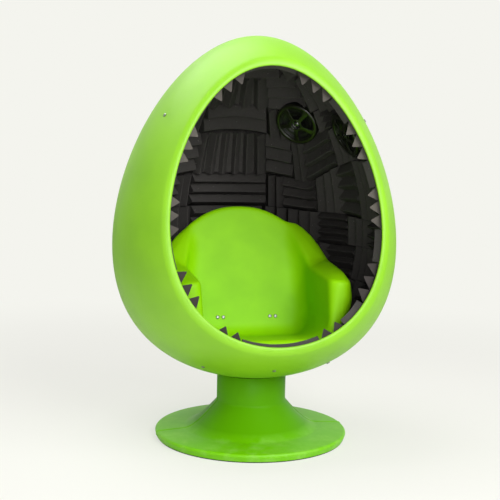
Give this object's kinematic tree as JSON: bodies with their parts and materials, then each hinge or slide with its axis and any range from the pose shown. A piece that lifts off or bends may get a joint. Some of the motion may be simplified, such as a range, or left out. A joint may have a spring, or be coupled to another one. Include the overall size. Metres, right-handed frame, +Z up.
{
  "type": "egg pod lounge chair",
  "caption": "Egg-shaped pod lounge chair: hollow shell with a leaning mouth, moulded armchair seat, wedge-foam lining and speakers, swivelling on a trumpet pedestal.",
  "frame": {"origin": "on the floor under the pedestal's axis", "axes": "+Z up along the pedestal's axis, the chair's mouth faces -Y, +X to the right of someone who looks into the mouth"},
  "size_m": [1.0702, 0.9513, 1.5195],
  "materials": {
    "shell_green": "fine pebbled",
    "pedestal_green": "satin",
    "seat_green": "satin",
    "pad_rubber": "matte",
    "foam_charcoal": "open-cell foam",
    "frame_steel": "satin black",
    "fastener_steel": "zinc plated",
    "bearing_steel": "plain",
    "saddle_iron": "painted",
    "speaker_gloss": "gloss",
    "speaker_dome": "gloss",
    "speaker_cone": "satin",
    "speaker_metal": "satin"
  },
  "bodies": {
    "pedestal": {"pedestal_shell": "pedestal_green", "floor_pad": "pad_rubber", "ballast_plate": "frame_steel", "ballast_screws": "fastener_steel", "mast_tube": "frame_steel", "mast_gussets": "frame_steel", "mast_top_plate": "frame_steel", "swivel_lower_race": "bearing_steel", "swivel_balls": "fastener_steel"},
    "pod": {"swivel_upper_race": "bearing_steel", "pod_saddle": "saddle_iron", "pod_clamp_plate": "bearing_steel", "mount_bolts": "fastener_steel", "pod_shell": "shell_green", "seat_shell": "seat_green", "seat_bracket_left": "bearing_steel", "seat_bracket_right": "bearing_steel", "seat_screws": "fastener_steel", "shell_screws": "fastener_steel", "liner_screws": "fastener_steel", "foam_ring": "foam_charcoal", "foam_row_1": "foam_charcoal", "foam_row_2": "foam_charcoal", "foam_row_3": "foam_charcoal", "foam_row_4": "foam_charcoal", "foam_row_5": "foam_charcoal", "foam_row_6": "foam_charcoal", "foam_roof": "foam_charcoal", "rear_left_magnet": "speaker_metal", "rear_left_basket": "speaker_metal", "rear_left_cone": "speaker_cone", "rear_left_tweeter": "speaker_dome", "rear_left_grille": "speaker_gloss", "rear_right_magnet": "speaker_metal", "rear_right_basket": "speaker_metal", "rear_right_cone": "speaker_cone", "rear_right_tweeter": "speaker_dome", "rear_right_grille": "speaker_gloss", "side_left_magnet": "speaker_metal", "side_left_basket": "speaker_metal", "side_left_cone": "speaker_cone", "side_left_tweeter": "speaker_dome", "side_left_grille": "speaker_gloss", "side_right_magnet": "speaker_metal", "side_right_basket": "speaker_metal", "side_right_cone": "speaker_cone", "side_right_tweeter": "speaker_dome", "side_right_grille": "speaker_gloss"}
  },
  "joints": [
    {"name": "pod_swivel", "type": "hinge", "parent": "pedestal", "child": "pod", "pos_m": [0, 0, 0.23], "axis": [0, 0, 1], "continuous": true}
  ]
}
